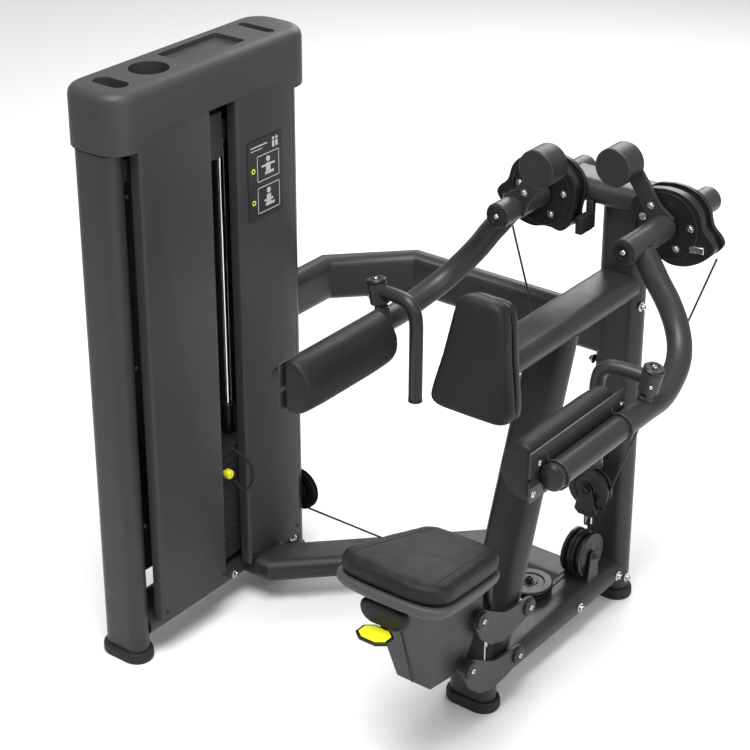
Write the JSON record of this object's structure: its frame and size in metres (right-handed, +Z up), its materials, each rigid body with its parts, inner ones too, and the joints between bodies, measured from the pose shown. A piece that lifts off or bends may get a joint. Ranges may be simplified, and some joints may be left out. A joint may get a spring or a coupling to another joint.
{
  "type": "lateral raise machine",
  "caption": "Selectorised lateral raise machine: shrouded weight tower, linked seat frame with chest pad, and swinging padded arms with handles, driven through a cable.",
  "frame": {"origin": "on the floor, under the middle of the bounding box", "axes": "+Z up, +Y the way the seated user faces, +X the user's right; the weight tower is on the -X side"},
  "size_m": [1.2724, 1.105, 1.468],
  "materials": {
    "frame_paint": "satin",
    "cover_sheet": "satin",
    "cap_plastic": "matte",
    "black_plastic": "matte",
    "rubber": "matte",
    "chrome": "polished",
    "iron": "satin",
    "leatherette": "satin",
    "yellow_plastic": "gloss",
    "cable_jacket": "gloss"
  },
  "bodies": {
    "root": {"tower_upright_front": "frame_paint", "tower_upright_rear": "frame_paint", "tower_base_beam": "frame_paint", "tower_top_beam": "frame_paint", "base_link_tube": "frame_paint", "mid_link_tube": "frame_paint", "base_beam": "frame_paint", "front_leg": "frame_paint", "rear_post": "frame_paint", "upper_beam": "frame_paint", "head_cross_beam": "frame_paint", "inclined_post": "frame_paint", "shroud_panel_front": "cover_sheet", "shroud_panel_rear": "cover_sheet", "shroud_panel_back": "cover_sheet", "tower_cap": "cap_plastic", "chest_pad_board": "black_plastic", "tower_foot_front": "rubber", "tower_foot_rear": "rubber", "seat_foot_front": "rubber", "seat_foot_rear": "rubber", "guide_rod_front": "chrome", "guide_rod_rear": "chrome", "weight_stack_rest": "iron", "chest_pad": "leatherette", "cable_main": "cable_jacket", "cable_lift": "cable_jacket", "cable_stack_drop": "cable_jacket", "cable_arms": "cable_jacket"},
    "weight": {"weight_carriage": "iron", "pin_lanyard": "rubber"},
    "pin": {"selector_pin": "yellow_plastic"},
    "arm_r": {"arm_right": "frame_paint", "cam_right": "black_plastic", "counterweight_right": "iron", "pad_bracket_right": "frame_paint", "arm_pad_right": "leatherette"},
    "arm_l": {"arm_left": "frame_paint", "cam_left": "black_plastic", "counterweight_left": "iron", "pad_bracket_left": "frame_paint", "arm_pad_left": "leatherette"},
    "grip_r": {"handle_right": "frame_paint"},
    "grip_l": {"handle_left": "frame_paint"},
    "float_block": {"floating_pulley_housing": "black_plastic"},
    "float_wheel": {"floating_pulley": "black_plastic"},
    "wheel_top_stack": {"top_pulley_stack": "black_plastic"},
    "wheel_top_rear": {"top_pulley_rear": "black_plastic"},
    "wheel_exit": {"exit_pulley": "black_plastic"},
    "wheel_horizontal": {"horizontal_pulley": "black_plastic"},
    "wheel_lower": {"lower_double_pulley": "black_plastic"},
    "link_upper": {"seat_link_upper": "frame_paint"},
    "link_lower": {"seat_link_lower": "frame_paint"},
    "seat": {"seat_carriage": "cap_plastic", "seat_tray": "cap_plastic", "seat_cushion": "leatherette", "seat_front_lobe": "leatherette"},
    "lever": {"seat_lever": "yellow_plastic"},
    "strut_rod": {"gas_strut_rod": "chrome"},
    "strut_cylinder": {"gas_strut_cylinder": "black_plastic"}
  },
  "joints": [
    {"name": "arm_right_raise", "type": "hinge", "parent": "root", "child": "arm_r", "pos_m": [0.4108, 0.3805, 1.1065], "axis": [0, -1, 0], "range_deg": [0, 75], "deforming": ["cable_arms"]},
    {"name": "arm_left_raise", "type": "hinge", "parent": "root", "child": "arm_l", "pos_m": [0.0728, 0.3805, 1.1065], "axis": [0, 1, 0], "range_deg": [0, 75]},
    {"name": "floating_pulley_rise", "type": "slide", "parent": "root", "child": "float_block", "axis": [0, 0, 1], "range_m": [0, 0.146], "deforming": ["cable_lift"]},
    {"name": "weight_lift", "type": "slide", "parent": "root", "child": "weight", "axis": [0, 0, 1], "range_m": [0, 0.146], "deforming": ["cable_stack_drop"]},
    {"name": "selector_pin_pull", "type": "slide", "parent": "weight", "child": "pin", "axis": [1, 0, 0], "range_m": [0, 0.085], "deforming": ["pin_lanyard"]},
    {"name": "floating_pulley_spin", "type": "hinge", "parent": "float_block", "child": "float_wheel", "pos_m": [0.2298, 0.3805, 0.341], "axis": [0, 1, 0], "continuous": true},
    {"name": "top_pulley_stack_spin", "type": "hinge", "parent": "root", "child": "wheel_top_stack", "pos_m": [-0.54875, -0.13458, 1.386], "axis": [-0.9982, -0.0593, 0], "continuous": true},
    {"name": "top_pulley_rear_spin", "type": "hinge", "parent": "root", "child": "wheel_top_rear", "pos_m": [-0.56265, 0.09958, 1.386], "axis": [-0.9982, -0.0593, 0], "continuous": true},
    {"name": "exit_pulley_spin", "type": "hinge", "parent": "root", "child": "wheel_exit", "pos_m": [-0.5152, 0.1425, 0.181], "axis": [0, 1, 0], "continuous": true},
    {"name": "horizontal_pulley_spin", "type": "hinge", "parent": "root", "child": "wheel_horizontal", "pos_m": [0.1798, 0.1925, 0.131], "axis": [0, 0, 1], "continuous": true},
    {"name": "lower_pulley_spin", "type": "hinge", "parent": "root", "child": "wheel_lower", "pos_m": [0.2438, 0.3305, 0.181], "axis": [1, 0, 0], "continuous": true},
    {"name": "handle_right_swivel", "type": "hinge", "parent": "arm_r", "child": "grip_r", "pos_m": [0.5938, -0.0325, 0.884], "axis": [-0.2338, 0, -0.9723], "range_deg": [-5, 30]},
    {"name": "handle_left_swivel", "type": "hinge", "parent": "arm_l", "child": "grip_l", "pos_m": [-0.1102, -0.0325, 0.884], "axis": [-0.2338, 0, 0.9723], "range_deg": [-5, 30]},
    {"name": "seat_height", "type": "hinge", "parent": "root", "child": "link_upper", "pos_m": [0.2418, -0.0325, 0.242], "axis": [1, 0, 0], "range_deg": [-12, 20]},
    {"name": "seat_lower_link", "type": "hinge", "parent": "root", "child": "link_lower", "pos_m": [0.2418, -0.0725, 0.129], "axis": [1, 0, 0], "range_deg": [-12.1, 20.1]},
    {"name": "seat_level", "type": "hinge", "parent": "link_upper", "child": "seat", "pos_m": [0.2418, -0.2285, 0.309], "axis": [1, 0, 0], "range_deg": [-20.1, 12.1]},
    {"name": "strut_rod_tilt", "type": "hinge", "parent": "root", "child": "strut_rod", "pos_m": [0.2868, -0.1565, 0.132], "axis": [1, 0, 0], "range_deg": [-2.7, 4.5]},
    {"name": "strut_cylinder_tilt", "type": "hinge", "parent": "seat", "child": "strut_cylinder", "pos_m": [0.2868, -0.1565, 0.384], "axis": [1, 0, 0], "range_deg": [-2.7, 4.5]},
    {"name": "seat_lever_press", "type": "hinge", "parent": "seat", "child": "lever", "pos_m": [0.2418, -0.4395, 0.397], "axis": [1, 0, 0], "range_deg": [0, 8], "stiffness_Nm_per_rad": 3, "springref_deg": -17.19}
  ],
  "couplings": [
    {"joint": "arm_left_raise", "follows": "arm_right_raise", "ratio": 1},
    {"joint": "floating_pulley_rise", "follows": "arm_right_raise", "m_per_rad": 0.1108},
    {"joint": "weight_lift", "follows": "arm_right_raise", "m_per_rad": 0.1108},
    {"joint": "top_pulley_stack_spin", "follows": "arm_right_raise", "ratio": -2.216},
    {"joint": "top_pulley_rear_spin", "follows": "arm_right_raise", "ratio": -2.216},
    {"joint": "exit_pulley_spin", "follows": "arm_right_raise", "ratio": -2.216},
    {"joint": "horizontal_pulley_spin", "follows": "arm_right_raise", "ratio": 2.216},
    {"joint": "lower_pulley_spin", "follows": "arm_right_raise", "ratio": 2.216},
    {"joint": "seat_lower_link", "follows": "seat_height", "ratio": 1},
    {"joint": "seat_level", "follows": "seat_height", "ratio": -1},
    {"joint": "strut_rod_tilt", "follows": "seat_height", "ratio": 0.22},
    {"joint": "strut_cylinder_tilt", "follows": "seat_height", "ratio": 0.22}
  ]
}
